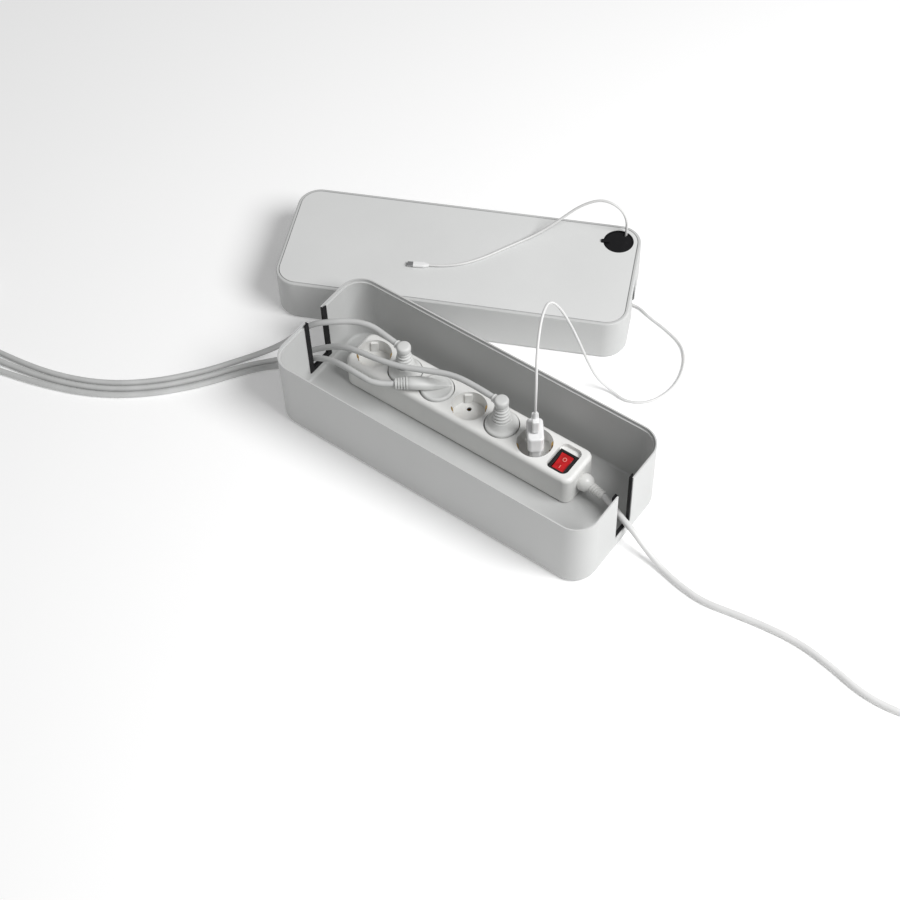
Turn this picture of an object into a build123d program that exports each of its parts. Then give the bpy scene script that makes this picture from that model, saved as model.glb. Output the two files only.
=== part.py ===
from build123d import *
from math import cos, pi, radians, sin, tan
import os

# A desk cable box: an open tray that holds a six-way socket strip, and its deep lid,
# which has been taken off and stands behind the tray.
# Millimetres, +Z up. The origin is the middle of the tray's footprint on the desk.
# +X runs along the tray to the end where the strip's supply cord leaves, +Y to the rear.

# ---- driving dimensions: box -----------------------------------------------------
box_length = 406
box_width = 154
corner_radius = 26
wall = 3.2
tray_height = 95
floor_thickness = 3
tray_bottom_radius = 5
inner_floor_radius = 3
foot_stand = 1
foot_radius = 7
foot_height = 2.5
foot_inset = 32
rim_step_width = 1.7
rim_step_depth = 4

slot_width = 28
slot_bottom = 19
slot_corner = 3
trim_lining = 1.3
trim_flange = 4.5
trim_thickness = 1.5
trim_reach = 2.2

# ---- driving dimensions: lid -----------------------------------------------------
lid_x = -145.3
lid_y = 191.1
lid_turn = 24.9
lid_height = 57
lid_top_radius = 1.6
deck_thickness = 3
pad_thickness = 3
pad_gap = 0.8
rim_band = 3.4
tongue_height = 3.5
tongue_clearance = 0.3
lid_slot_height = 40
outlet_radius = 17.4
outlet_wall = 1.5
outlet_depth = 10
outlet_ledge = 2.3
outlet_ledge_depth = 3
outlet_ledge_thickness = 1.5
outlet_clearance = 0.3
cap_thickness = 2.3
notch_turn = 62.7
notch_width = 5
notch_radius = 13.4
tab_turn = 188
tab_width = 5
tab_reach = 20
tab_thickness = 1.2

# ---- driving dimensions: socket strip --------------------------------------------
strip_left = -166
strip_length = 300
strip_width = 51
strip_height = 40
strip_y = 26.5
strip_corner = 10
strip_wall = 2.5
strip_base_height = 12
strip_top_radius = 5
strip_bottom_radius = 3.5
socket_count = 6
socket_pitch = 43.2
first_socket = -142
socket_turn = 38
well_radius = 19.75
well_depth = 17.5
well_wall = 1.6
pin_spacing = 19
pin_radius = 2.4
pin_length = 19
contact_clearance = 0.35
contact_wall = 0.7
bar_width = 6
bar_thickness = 1
clip_width = 4
clip_thickness = 0.8
clip_bulge = 1.6
rail_width = 5
switch_x = 111.5
switch_y = 23.5
switch_pocket_depth = 5
bezel_length = 23
bezel_width = 29
bezel_thickness = 1.6
rocker_length = 16.4
rocker_width = 23
rocker_tilt = 9
rocker_clearance = 0.6
screw_radius = 2
post_radius = 4
post_offset = 18
gland_axis_z = 24
gland_radius = 9
gland_collar = 6
supply_relief_length = 31
supply_relief_drift = 5
supply_relief_turn = -18

# ---- driving dimensions: plugs, charger and cords --------------------------------
plug_radius = 18.6
plug_seat_clearance = 0.3
device_cord = 6.8
supply_cord = 6.8
usb_cord = 3
device_coil_radius = 40
supply_coil_radius = 42
desk_clearance = 0.1
connector_width = 21
connector_height = 16
connector_length = 32
relief_length = 30

os.makedirs("parts", exist_ok=True)

# ---- values that follow from the driving dimensions ------------------------------
tray_floor = foot_stand + floor_thickness
inner_x = box_length / 2 - wall
strip_floor = tray_floor
strip_top = strip_floor + strip_height
strip_middle = strip_left + strip_length / 2
strip_right = strip_left + strip_length
well_floor = strip_top - well_depth
cup_bottom = well_floor - well_wall
cover_bottom = strip_floor + strip_base_height
socket_xs = [first_socket + n * socket_pitch for n in range(socket_count)]
clip_way = Vector(cos(radians(socket_turn)), sin(radians(socket_turn)))
pin_way = Vector(-sin(radians(socket_turn)), cos(radians(socket_turn)))
pin_offset = pin_way * (pin_spacing / 2)
plug_face = well_floor + plug_seat_clearance
deck_bottom = lid_height - pad_thickness - deck_thickness
lid_plane = Plane(
    origin=(lid_x, lid_y, 0),
    x_dir=(cos(radians(lid_turn)), sin(radians(lid_turn)), 0),
    z_dir=(0, 0, 1),
)
outlet_x = box_length / 2 - corner_radius
outlet_y = box_width / 2 - corner_radius


def save(piece, name):
    """Label a finished piece and write its STEP file."""
    piece.part.label = name
    export_step(piece.part, f"parts/{name}.step")


def way(turn):
    """Unit vector in the desk plane, turned from +X."""
    return Vector(cos(radians(turn)), sin(radians(turn)), 0)


def upright_plane(x, y):
    """Vertical plane through a point of the desk, for the outline of a turned piece."""
    return Plane(origin=(x, y, 0), x_dir=(1, 0, 0), z_dir=(0, -1, 0))


# ---- tray ------------------------------------------------------------------------
foot_x = box_length / 2 - foot_inset
foot_y = box_width / 2 - foot_inset
foot_spots = Locations((foot_x, foot_y), (-foot_x, foot_y), (foot_x, -foot_y), (-foot_x, -foot_y), (0, 0))

with BuildPart() as tray_shell:
    with BuildSketch(Plane.XY.offset(foot_stand)):
        RectangleRounded(box_length, box_width, corner_radius)
    extrude(amount=tray_height - foot_stand)
    fillet(tray_shell.faces().sort_by(Axis.Z)[0].edges(), tray_bottom_radius)
    with BuildSketch(Plane.XY.offset(tray_floor)):
        RectangleRounded(box_length - 2 * wall, box_width - 2 * wall, corner_radius - wall)
    extrude(amount=tray_height, mode=Mode.SUBTRACT)
    floor_edges = tray_shell.edges().filter_by_position(Axis.Z, tray_floor - 0.01, tray_floor + 0.01)
    fillet(floor_edges, inner_floor_radius)
    rim_wall = wall - rim_step_width
    with BuildSketch(Plane.XY.offset(tray_height - rim_step_depth)):
        RectangleRounded(box_length - 2 * rim_wall, box_width - 2 * rim_wall, corner_radius - rim_wall)
    extrude(amount=tray_height, mode=Mode.SUBTRACT)
    # cable slots in both end walls, open at the rim
    with BuildSketch(Plane.YZ):
        with Locations((0, slot_bottom + tray_height / 2)):
            slot_outline = Rectangle(slot_width, tray_height)
        fillet(slot_outline.vertices().group_by(Axis.Y)[0], slot_corner)
    extrude(amount=box_length, both=True, mode=Mode.SUBTRACT)
    # shallow pockets that hold the feet
    with BuildSketch(Plane.XY):
        with foot_spots:
            Circle(foot_radius + 0.2)
    extrude(amount=foot_height, mode=Mode.SUBTRACT)
save(tray_shell, "tray_shell")

with BuildPart() as feet:
    with BuildSketch(Plane.XY):
        with foot_spots:
            Circle(foot_radius)
    extrude(amount=foot_height)
save(feet, "feet")


def slot_trim(name, section_plane, wall_face, height, foot, top):
    """Rubber trim that lines a slot, clipped on from the inside of its wall.

    section_plane looks out through the wall, wall_face is its inner face's distance,
    and foot and top are where the slot is closed and where it is open.
    """
    middle = (foot + top) / 2
    opening = slot_width - 2 * trim_lining
    closed_up = 1 if top > foot else -1
    with BuildPart() as trim:
        with BuildSketch(section_plane.offset(wall_face - trim_thickness)):
            with Locations((0, middle - closed_up * trim_flange / 2)):
                Rectangle(slot_width + 2 * trim_flange, height + trim_flange)
        extrude(amount=trim_thickness)
        with BuildSketch(section_plane.offset(wall_face)):
            with Locations((0, middle)):
                lining = Rectangle(slot_width, height)
            fillet(lining.vertices().sort_by(Axis.Y)[::closed_up][:2], slot_corner)
        extrude(amount=trim_reach)
        with BuildSketch(section_plane.offset(wall_face - trim_thickness)):
            with Locations((0, middle + closed_up * trim_lining)):
                Rectangle(opening, height)
        extrude(amount=trim_thickness + trim_reach, mode=Mode.SUBTRACT)
    save(trim, name)


slot_height = tray_height - slot_bottom
slot_trim("slot_trim_right", Plane.YZ, inner_x, slot_height, slot_bottom, tray_height)
left_end_plane = Plane(origin=(0, 0, 0), x_dir=(0, -1, 0), z_dir=(-1, 0, 0))
slot_trim("slot_trim_left", left_end_plane, inner_x, slot_height, slot_bottom, tray_height)

# ---- lid -------------------------------------------------------------------------
lid_end_plane = Plane(origin=lid_plane.origin, x_dir=lid_plane.y_dir, z_dir=lid_plane.x_dir)

with BuildPart() as lid_shell:
    with BuildSketch(lid_plane.offset(tongue_height)):
        RectangleRounded(box_length, box_width, corner_radius)
    extrude(amount=lid_height - tongue_height)
    fillet(lid_shell.faces().sort_by(Axis.Z)[-1].edges(), lid_top_radius)
    # the tongue drops into the step of the tray's rim
    tongue_inset = wall - rim_step_width + tongue_clearance
    with BuildSketch(lid_plane):
        RectangleRounded(box_length - 2 * tongue_inset, box_width - 2 * tongue_inset,
                         corner_radius - tongue_inset)
    extrude(amount=tongue_height)
    with BuildSketch(lid_plane):
        RectangleRounded(box_length - 2 * wall, box_width - 2 * wall, corner_radius - wall)
    extrude(amount=deck_bottom, mode=Mode.SUBTRACT)
    with BuildSketch(lid_plane.offset(lid_height - pad_thickness)):
        RectangleRounded(box_length - 2 * rim_band, box_width - 2 * rim_band,
                         corner_radius - rim_band)
    extrude(amount=pad_thickness, mode=Mode.SUBTRACT)
    with BuildSketch(lid_end_plane):
        slot_outline = Rectangle(slot_width, 2 * lid_slot_height)
        fillet(slot_outline.vertices(), slot_corner)
    extrude(amount=box_length, both=True, mode=Mode.SUBTRACT)
    # the tongue stops short of the slot trims of the tray
    with BuildSketch(lid_end_plane):
        Rectangle(slot_width + 2 * trim_flange + 2, 2 * tongue_height)
    extrude(amount=box_length, both=True, mode=Mode.SUBTRACT)
    with BuildSketch(lid_plane.offset(deck_bottom)):
        with Locations((outlet_x, outlet_y)):
            Circle(outlet_radius + 0.1)
    extrude(amount=deck_thickness, mode=Mode.SUBTRACT)
save(lid_shell, "lid_shell")

lid_trim_height = lid_slot_height - tongue_height
slot_trim("lid_trim_right", lid_end_plane, inner_x, lid_trim_height, lid_slot_height, tongue_height)
lid_left_plane = Plane(origin=lid_plane.origin, x_dir=-lid_plane.y_dir, z_dir=-lid_plane.x_dir)
slot_trim("lid_trim_left", lid_left_plane, inner_x, lid_trim_height, lid_slot_height, tongue_height)

with BuildPart() as lid_pad:
    pad_inset = rim_band + pad_gap
    with BuildSketch(lid_plane.offset(lid_height - pad_thickness)):
        RectangleRounded(box_length - 2 * pad_inset, box_width - 2 * pad_inset,
                         corner_radius - pad_inset)
        with Locations((outlet_x, outlet_y)):
            Circle(outlet_radius + 0.1, mode=Mode.SUBTRACT)
    extrude(amount=pad_thickness)
save(lid_pad, "lid_pad")

# ---- cable outlet in the lid -----------------------------------------------------
outlet_plane = Plane(
    origin=lid_plane.from_local_coords(Vector(outlet_x, outlet_y, lid_height)),
    x_dir=lid_plane.x_dir,
    z_dir=(0, 0, 1),
)
bore_radius = outlet_radius - outlet_wall
notch_way = Vector(cos(radians(notch_turn)), sin(radians(notch_turn)))
notch_middle = notch_way * (notch_radius + outlet_radius / 2)

with BuildPart() as outlet_ring:
    with BuildSketch(outlet_plane.offset(-outlet_depth)):
        Circle(outlet_radius)
        Circle(bore_radius, mode=Mode.SUBTRACT)
    extrude(amount=outlet_depth)
    with BuildSketch(outlet_plane.offset(-outlet_ledge_depth - outlet_ledge_thickness)):
        Circle(bore_radius + 0.5)
        Circle(bore_radius - outlet_ledge, mode=Mode.SUBTRACT)
    extrude(amount=outlet_ledge_thickness)
    with BuildSketch(outlet_plane.offset(-outlet_ledge_depth - outlet_ledge_thickness)):
        ledge_middle = notch_way * (bore_radius - outlet_ledge / 2)
        with Locations(Location((ledge_middle.X, ledge_middle.Y, 0), (0, 0, notch_turn))):
            Rectangle(outlet_ledge + 0.4, notch_width)
    extrude(amount=outlet_ledge_thickness, mode=Mode.SUBTRACT)
save(outlet_ring, "outlet_ring")

with BuildPart() as outlet_cap:
    cap_foot = outlet_clearance - outlet_ledge_depth
    with BuildSketch(outlet_plane.offset(cap_foot)):
        Circle(bore_radius - outlet_clearance)
    extrude(amount=cap_thickness)
    fillet(outlet_cap.edges().group_by(Axis.Z)[-1], 0.5)
    # round-ended notch for the cable, open at the rim
    with BuildSketch(outlet_plane.offset(-outlet_ledge_depth)):
        with Locations(notch_way * notch_radius):
            Circle(notch_width / 2)
        with Locations(Location((notch_middle.X, notch_middle.Y, 0), (0, 0, notch_turn))):
            Rectangle(outlet_radius, notch_width)
    extrude(amount=outlet_ledge_depth, mode=Mode.SUBTRACT)
    # finger tab that reaches out over the ring
    tab_root = bore_radius - 5
    tab_way = Vector(cos(radians(tab_turn)), sin(radians(tab_turn)))
    riser_middle = tab_way * (tab_root + 2)
    tab_middle = tab_way * ((tab_root + tab_reach) / 2)
    with BuildSketch(outlet_plane.offset(cap_foot + cap_thickness - 0.3)):
        with Locations(Location((riser_middle.X, riser_middle.Y, 0), (0, 0, tab_turn))):
            Rectangle(4, tab_width)
    extrude(amount=1.6)
    with BuildSketch(outlet_plane.offset(outlet_clearance)):
        with Locations(Location((tab_middle.X, tab_middle.Y, 0), (0, 0, tab_turn))):
            tab_outline = Rectangle(tab_reach - tab_root, tab_width)
            fillet(tab_outline.vertices(), 1.2)
    extrude(amount=tab_thickness)
save(outlet_cap, "outlet_cap")

# ---- socket strip ----------------------------------------------------------------
strip_plane = Plane(origin=(strip_middle, strip_y, 0))
post_spots = [
    (first_socket + (n + 0.5) * socket_pitch, strip_y + side * post_offset)
    for n in (0, 4)
    for side in (1, -1)
]


def socket_planes(z):
    """One plane for each socket, turned with it: X to the earth clip, Y along the pins."""
    return [Plane(origin=(x, strip_y, z), x_dir=clip_way, z_dir=(0, 0, 1)) for x in socket_xs]


with BuildPart() as strip_base:
    with BuildSketch(strip_plane.offset(strip_floor)):
        RectangleRounded(strip_length, strip_width, strip_corner)
    extrude(amount=strip_base_height)
    fillet(strip_base.faces().sort_by(Axis.Z)[0].edges(), strip_bottom_radius)
    with BuildSketch(strip_plane.offset(strip_floor + strip_wall)):
        RectangleRounded(strip_length - 2 * strip_wall, strip_width - 2 * strip_wall,
                         strip_corner - strip_wall)
    extrude(amount=strip_height, mode=Mode.SUBTRACT)
    # screw posts that reach up to the cover
    with BuildSketch(Plane.XY.offset(strip_floor)):
        with Locations(*post_spots):
            Circle(post_radius)
    extrude(amount=strip_base_height)
    with BuildSketch(Plane.XY.offset(strip_floor)):
        with Locations(*post_spots):
            Circle(screw_radius)
    extrude(amount=strip_height, mode=Mode.SUBTRACT)
    with BuildSketch(Plane.XY.offset(strip_floor)):
        with Locations(*post_spots):
            Circle(screw_radius + 1.6)
    extrude(amount=2, mode=Mode.SUBTRACT)
save(strip_base, "strip_base")

pocket_floor = strip_top - switch_pocket_depth
bezel_top = pocket_floor + bezel_thickness

with BuildPart() as strip_cover:
    with BuildSketch(strip_plane.offset(cover_bottom)):
        RectangleRounded(strip_length, strip_width, strip_corner)
    extrude(amount=strip_top - cover_bottom)
    fillet(strip_cover.faces().sort_by(Axis.Z)[-1].edges(), strip_top_radius)
    with BuildSketch(strip_plane.offset(cover_bottom)):
        RectangleRounded(strip_length - 2 * strip_wall, strip_width - 2 * strip_wall,
                         strip_corner - strip_wall)
    extrude(amount=strip_top - strip_wall - cover_bottom, mode=Mode.SUBTRACT)
    # cups below the six wells, the switch's pocket and the screw posts
    with BuildSketch(Plane.XY.offset(cup_bottom)):
        with Locations(*[(x, strip_y) for x in socket_xs]):
            Circle(well_radius + well_wall)
    extrude(amount=strip_top - strip_wall - cup_bottom)
    with BuildSketch(Plane.XY.offset(pocket_floor - strip_wall)):
        with Locations((switch_x, strip_y)):
            Rectangle(bezel_length + 8, strip_width - 4)
    extrude(amount=switch_pocket_depth)
    with BuildSketch(Plane.XY.offset(cover_bottom)):
        with Locations(*post_spots):
            Circle(post_radius)
    extrude(amount=strip_top - strip_wall - cover_bottom)
    # wells, pin holes and the slots of the earth clips
    with BuildSketch(Plane.XY.offset(well_floor)):
        with Locations(*[(x, strip_y) for x in socket_xs]):
            Circle(well_radius)
    extrude(amount=well_depth, mode=Mode.SUBTRACT)
    with BuildSketch(*socket_planes(cup_bottom)):
        with GridLocations(0, pin_spacing, 1, 2):
            Circle(pin_radius + contact_clearance)
    extrude(amount=well_wall, mode=Mode.SUBTRACT)
    with BuildSketch(*socket_planes(cup_bottom)):
        with GridLocations(2 * (well_radius - clip_bulge), 0, 2, 1):
            Rectangle(2 * clip_bulge + 2 * clip_thickness + 0.6, clip_width + 0.6)
    extrude(amount=well_depth - strip_wall, mode=Mode.SUBTRACT)
    # pocket and hole of the switch
    with BuildSketch(Plane.XY.offset(pocket_floor)):
        with Locations((switch_x, strip_y)):
            RectangleRounded(bezel_length + 3, strip_width - 14, 7)
    extrude(amount=switch_pocket_depth, mode=Mode.SUBTRACT)
    with BuildSketch(Plane.XY.offset(cover_bottom)):
        with Locations((switch_x, switch_y)):
            Rectangle(bezel_length - 2, bezel_width - 2)
    extrude(amount=strip_height, mode=Mode.SUBTRACT)
    with BuildSketch(Plane.XY.offset(cover_bottom)):
        with Locations(*post_spots):
            Circle(screw_radius - 0.3)
    extrude(amount=12, mode=Mode.SUBTRACT)
    # hole for the cord behind its gland
    with BuildSketch(Plane.YZ.offset(strip_right - strip_wall - 1)):
        with Locations((strip_y, gland_axis_z)):
            Circle(supply_cord / 2 + 0.2)
    extrude(amount=strip_wall + 2, mode=Mode.SUBTRACT)
save(strip_cover, "strip_cover")

with BuildPart() as cover_screws:
    with BuildSketch(Plane.XY.offset(strip_floor + 0.2)):
        with Locations(*post_spots):
            Circle(screw_radius + 1.3)
    extrude(amount=1.8)
    with BuildSketch(Plane.XY.offset(strip_floor + 2)):
        with Locations(*post_spots):
            Circle(screw_radius - 0.3)
    extrude(amount=strip_base_height + 6)
save(cover_screws, "cover_screws")


def contact_bar(name, side):
    """Flat bar under one row of pin holes, with a sleeve for each pin."""
    shift = pin_offset * side
    bar_z = strip_floor + strip_wall + 8
    sleeve_foot = strip_floor + strip_wall
    with BuildPart() as bar:
        with BuildSketch(Plane.XY.offset(bar_z)):
            with Locations((first_socket + 2.5 * socket_pitch + shift.X, strip_y + shift.Y)):
                Rectangle((socket_count - 1) * socket_pitch + bar_width, bar_width)
        extrude(amount=bar_thickness)
        with BuildSketch(Plane.XY.offset(sleeve_foot)):
            with Locations(*[(x + shift.X, strip_y + shift.Y) for x in socket_xs]):
                Circle(pin_radius + contact_clearance + contact_wall)
        extrude(amount=cup_bottom - 2 - sleeve_foot)
        with BuildSketch(Plane.XY.offset(sleeve_foot)):
            with Locations(*[(x + shift.X, strip_y + shift.Y) for x in socket_xs]):
                Circle(pin_radius + contact_clearance)
        extrude(amount=strip_height, mode=Mode.SUBTRACT)
    save(bar, name)


contact_bar("live_bar", 1)
contact_bar("neutral_bar", -1)

with BuildPart() as earth_rail:
    rail_z = cup_bottom - 0.3 - clip_thickness
    with BuildSketch(Plane.XY.offset(rail_z)):
        with Locations((first_socket + 2.5 * socket_pitch, strip_y)):
            Rectangle((socket_count - 1) * socket_pitch + rail_width, rail_width)
    extrude(amount=clip_thickness)
    clip_radius = well_radius + clip_thickness
    with BuildSketch(*socket_planes(rail_z)):
        Rectangle(2 * clip_radius, clip_width)
    extrude(amount=clip_thickness)
    # each clip rises beside its well and bows inwards near the top
    for x in socket_xs:
        for side in (1, -1):
            clip_plane = Plane(origin=(x, strip_y, 0), x_dir=clip_way * side,
                               z_dir=(clip_way * side).cross(Vector(0, 0, 1)))
            with BuildSketch(clip_plane):
                with BuildLine():
                    inner = well_radius
                    Polyline(
                        (inner, rail_z),
                        (inner, well_floor + 4),
                        (inner - clip_bulge, well_floor + 8),
                        (inner, well_floor + 12),
                        (inner + clip_thickness, well_floor + 12),
                        (inner + clip_thickness - clip_bulge, well_floor + 8),
                        (inner + clip_thickness, well_floor + 4),
                        (inner + clip_thickness, rail_z),
                        close=True,
                    )
                make_face()
            extrude(amount=clip_width / 2, both=True)
save(earth_rail, "earth_rail")

# ---- rocker switch ---------------------------------------------------------------
housing_floor = cover_bottom + 3
with BuildPart() as switch_bezel:
    with BuildSketch(Plane.XY.offset(pocket_floor)):
        with Locations((switch_x, switch_y)):
            RectangleRounded(bezel_length, bezel_width, 1)
    extrude(amount=bezel_thickness)
    with BuildSketch(Plane.XY.offset(housing_floor)):
        with Locations((switch_x, switch_y)):
            Rectangle(bezel_length - 2.4, bezel_width - 2.4)
    extrude(amount=pocket_floor - housing_floor)
    with BuildSketch(Plane.XY.offset(housing_floor + 1.5)):
        with Locations((switch_x, switch_y)):
            Rectangle(rocker_length + 2 * rocker_clearance, rocker_width + 2.4)
    extrude(amount=strip_height, mode=Mode.SUBTRACT)
save(switch_bezel, "switch_bezel")

pivot_z = pocket_floor - 1.5
tilt = radians(rocker_tilt)
rocker_plane = Plane(origin=(switch_x, switch_y, pivot_z), x_dir=(0, cos(tilt), sin(tilt)),
                     z_dir=(1, 0, 0))
with BuildPart() as switch_rocker:
    rocker_end = rocker_width / 2
    with BuildSketch(rocker_plane):
        with BuildLine():
            Polyline(
                (-rocker_end + 1.4, -4.5), (-rocker_end, 5.2), (0, 3.4), (rocker_end, 5.2),
                (rocker_end - 1.4, -4.5), (0, -7.5), close=True,
            )
        make_face()
    extrude(amount=rocker_length / 2, both=True)
    with BuildSketch(rocker_plane):
        Circle(1.2)
    extrude(amount=rocker_length / 2 + 0.3, both=True)
save(switch_rocker, "switch_rocker")

# ---- strip's gland and cord relief -----------------------------------------------
gland_plane = Plane(origin=(strip_right, strip_y, gland_axis_z), x_dir=(0, 1, 0), z_dir=(1, 0, 0))
relief_end_radius = supply_cord / 2 + 1
supply_heading = way(supply_relief_turn)
supply_exit = Vector(strip_right + supply_relief_length, strip_y - supply_relief_drift, gland_axis_z + 1)
with BuildPart() as strip_gland:
    with BuildSketch(gland_plane):
        Circle(gland_radius + 1)
    extrude(amount=gland_collar)
    fillet(strip_gland.edges().group_by(Axis.X)[-1], 2)
    with BuildSketch(gland_plane.offset(gland_collar - 1)):
        Circle(gland_radius - 1)
    with BuildSketch(Plane(origin=supply_exit, z_dir=supply_heading)):
        Circle(relief_end_radius)
    loft()
save(strip_gland, "strip_gland")


# ---- plugs -----------------------------------------------------------------------
rib_count = 6
neck_foot = strip_top + 6
neck_top = strip_top + 31
knob_z = strip_top + 37
knob_radius = 8
knob_stub = 11


def plug_pins(name, origin, along, across, radius):
    """Two round pins that stand out of a plug's face, in the direction along."""
    with BuildPart() as pins:
        for side in (1, -1):
            with BuildSketch(Plane(origin=origin + across * (side * pin_spacing / 2), z_dir=along)):
                Circle(radius)
            extrude(amount=pin_length)
    save(pins, name)


def clip_grooves(plane, height):
    """Grooves on both sides of a plug's body, where the earth clips run."""
    with BuildSketch(plane) as grooves:
        with GridLocations(2 * plug_radius, 0, 2, 1):
            Rectangle(5.6, clip_width + 2)
    extrude(grooves.sketch, amount=height, mode=Mode.SUBTRACT)


def upright_plug(name, socket, cord_turn):
    """Round plug with a ribbed neck and a knob on top, from which the cord leaves sideways."""
    x = socket_xs[socket]
    rib_pitch = (neck_top - neck_foot) / rib_count
    ribs = []
    for n in range(rib_count):
        radius = 11.5 - 4.5 * n / rib_count
        z = neck_foot + n * rib_pitch
        ribs += [(radius, z), (radius - 0.3, z + 0.6 * rib_pitch), (radius - 1.8, z + 0.75 * rib_pitch),
                 (radius - 1.8, z + 0.95 * rib_pitch)]
    with BuildPart() as body:
        with BuildSketch(upright_plane(x, strip_y)):
            with BuildLine():
                Polyline(
                    (0, plug_face), (plug_radius, plug_face), (plug_radius, strip_top + 1),
                    (plug_radius - 1.5, strip_top + 2.8), (14, strip_top + 4.5), *ribs,
                    (5.6, neck_top), (0, neck_top), close=True,
                )
            make_face()
        revolve(axis=Axis((x, strip_y, 0), (0, 0, 1)))
        with BuildSketch(Plane(origin=(x, strip_y, neck_top - 1))):
            Circle(knob_radius)
        extrude(amount=2 * (knob_z - neck_top) + 1)
        fillet(body.edges().group_by(Axis.Z)[-1], 3)
        with BuildSketch(Plane(origin=(x, strip_y, knob_z), z_dir=way(cord_turn))):
            Circle(device_cord / 2 + 1.2)
        extrude(amount=knob_stub)
        clip_grooves(Plane(origin=(x, strip_y, plug_face), x_dir=clip_way, z_dir=(0, 0, 1)),
                     well_depth + 0.5)
    save(body, name + "_body")
    plug_pins(name + "_pins", Vector(x, strip_y, plug_face), Vector(0, 0, -1), pin_way, pin_radius)


cord_a_turn = 172
cord_c_turn = 176
upright_plug("plug_a", 1, cord_a_turn)
upright_plug("plug_c", 4, cord_c_turn)

# the flat plug's arm leaves over the front edge of the strip, along the earth clips
arm_z = strip_top + 11
arm_end = 31
relief_b_end = 46
plug_b_x = socket_xs[2]
arm_way = clip_way * -1
with BuildPart() as plug_b_body:
    with BuildSketch(Plane(origin=(plug_b_x, strip_y, plug_face))):
        Circle(plug_radius)
    extrude(amount=strip_top + 3 - plug_face)
    with BuildSketch(Plane(origin=(plug_b_x, strip_y, strip_top + 3))):
        Circle(plug_radius - 1.5)
    with BuildSketch(Plane(origin=(plug_b_x, strip_y, strip_top + 14))):
        Circle(plug_radius - 5)
    loft()
    fillet(plug_b_body.faces().sort_by(Axis.Z)[-1].edges(), 3)
    arm_plane = Plane(origin=(plug_b_x, strip_y, arm_z), x_dir=(0, 0, 1), z_dir=arm_way)
    with BuildSketch(arm_plane):
        RectangleRounded(12, 17, 4)
    with BuildSketch(arm_plane.offset(arm_end)):
        RectangleRounded(12, 14, 5.5)
    loft()
    clip_grooves(Plane(origin=(plug_b_x, strip_y, plug_face), x_dir=clip_way, z_dir=(0, 0, 1)),
                 well_depth + 0.5)
save(plug_b_body, "plug_b_body")

with BuildPart() as plug_b_relief:
    # ribbed relief: discs on a core
    with BuildSketch(arm_plane.offset(arm_end)):
        Circle(device_cord / 2 + 1)
    extrude(amount=relief_b_end - arm_end)
    for n in range(5):
        with BuildSketch(arm_plane.offset(arm_end + 3 * n)):
            RectangleRounded(11.5 - 0.3 * n, 13.5 - 0.5 * n, 4)
        extrude(amount=1.9)
save(plug_b_relief, "plug_b_relief")
plug_pins("plug_b_pins", Vector(plug_b_x, strip_y, plug_face), Vector(0, 0, -1), pin_way, pin_radius)

# ---- charger and its cable's plug ------------------------------------------------
charger_x = socket_xs[5]
charger_plane = Plane(origin=(charger_x, strip_y, 0), x_dir=clip_way, z_dir=(0, 0, 1))
charger_shoulder = strip_top + 4
charger_top = strip_top + 24
port_depth = 11
port_clearance = 0.3
usb_width = 12
usb_thickness = 4.5
with BuildPart() as charger_body:
    with BuildSketch(charger_plane.offset(plug_face)):
        RectangleRounded(13, 27, 4)
    extrude(amount=charger_shoulder - plug_face)
    with BuildSketch(charger_plane.offset(charger_shoulder)):
        RectangleRounded(18, 31, 5)
    extrude(amount=charger_top - charger_shoulder)
    fillet(charger_body.faces().sort_by(Axis.Z)[-1].edges(), 2.5)
    with BuildSketch(charger_plane.offset(charger_top - port_depth)):
        Rectangle(usb_thickness + 2 * port_clearance, usb_width + 2 * port_clearance)
    extrude(amount=port_depth, mode=Mode.SUBTRACT)
save(charger_body, "charger_body")
plug_pins("charger_pins", Vector(charger_x, strip_y, plug_face), Vector(0, 0, -1), pin_way, 2)

usb_shell_foot = charger_top - port_depth + port_clearance
usb_grip_foot = charger_top + 2.5
usb_grip_top = usb_grip_foot + 17
usb_relief_top = usb_grip_top + 9
with BuildPart() as usb_shell:
    with BuildSketch(charger_plane.offset(usb_shell_foot)):
        Rectangle(usb_thickness, usb_width)
    extrude(amount=usb_grip_foot - usb_shell_foot)
save(usb_shell, "usb_shell")

with BuildPart() as usb_grip:
    with BuildSketch(charger_plane.offset(usb_grip_foot)):
        RectangleRounded(7.6, 15.4, 2)
    extrude(amount=usb_grip_top - usb_grip_foot)
    fillet(usb_grip.faces().sort_by(Axis.Z)[-1].edges(), 1.5)
    with BuildSketch(charger_plane.offset(usb_grip_top - 1)):
        Circle(3)
    with BuildSketch(charger_plane.offset(usb_relief_top)):
        Circle(2)
    loft()
save(usb_grip, "usb_grip")


# ---- cords -----------------------------------------------------------------------
def cord_tube(name, points, diameter):
    """Tube along straight runs joined by tangent arcs, each as large as its two runs allow."""
    points = [Vector(*p) for p in points]
    runs = [b - a for a, b in zip(points, points[1:])]
    radii = []
    for before, after in zip(runs, runs[1:]):
        half_turn = radians(before.get_angle(after)) / 2
        radii.append(0.45 * min(before.length, after.length) / tan(half_turn))
    with BuildPart() as tube:
        with BuildLine() as route:
            FilletPolyline(*points, radius=radii)
        with BuildSketch(Plane(origin=points[0], z_dir=runs[0])):
            Circle(diameter / 2)
        sweep()
    save(tube, name)
    length = route.wire().length
    share = tube.part.volume / (pi * diameter**2 / 4 * length)
    print(name, f"length {length:.0f}, volume share {share:.4f}, longest run",
          f"{max(r.length for r in runs):.0f}, radii", [round(r) for r in radii])


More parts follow.
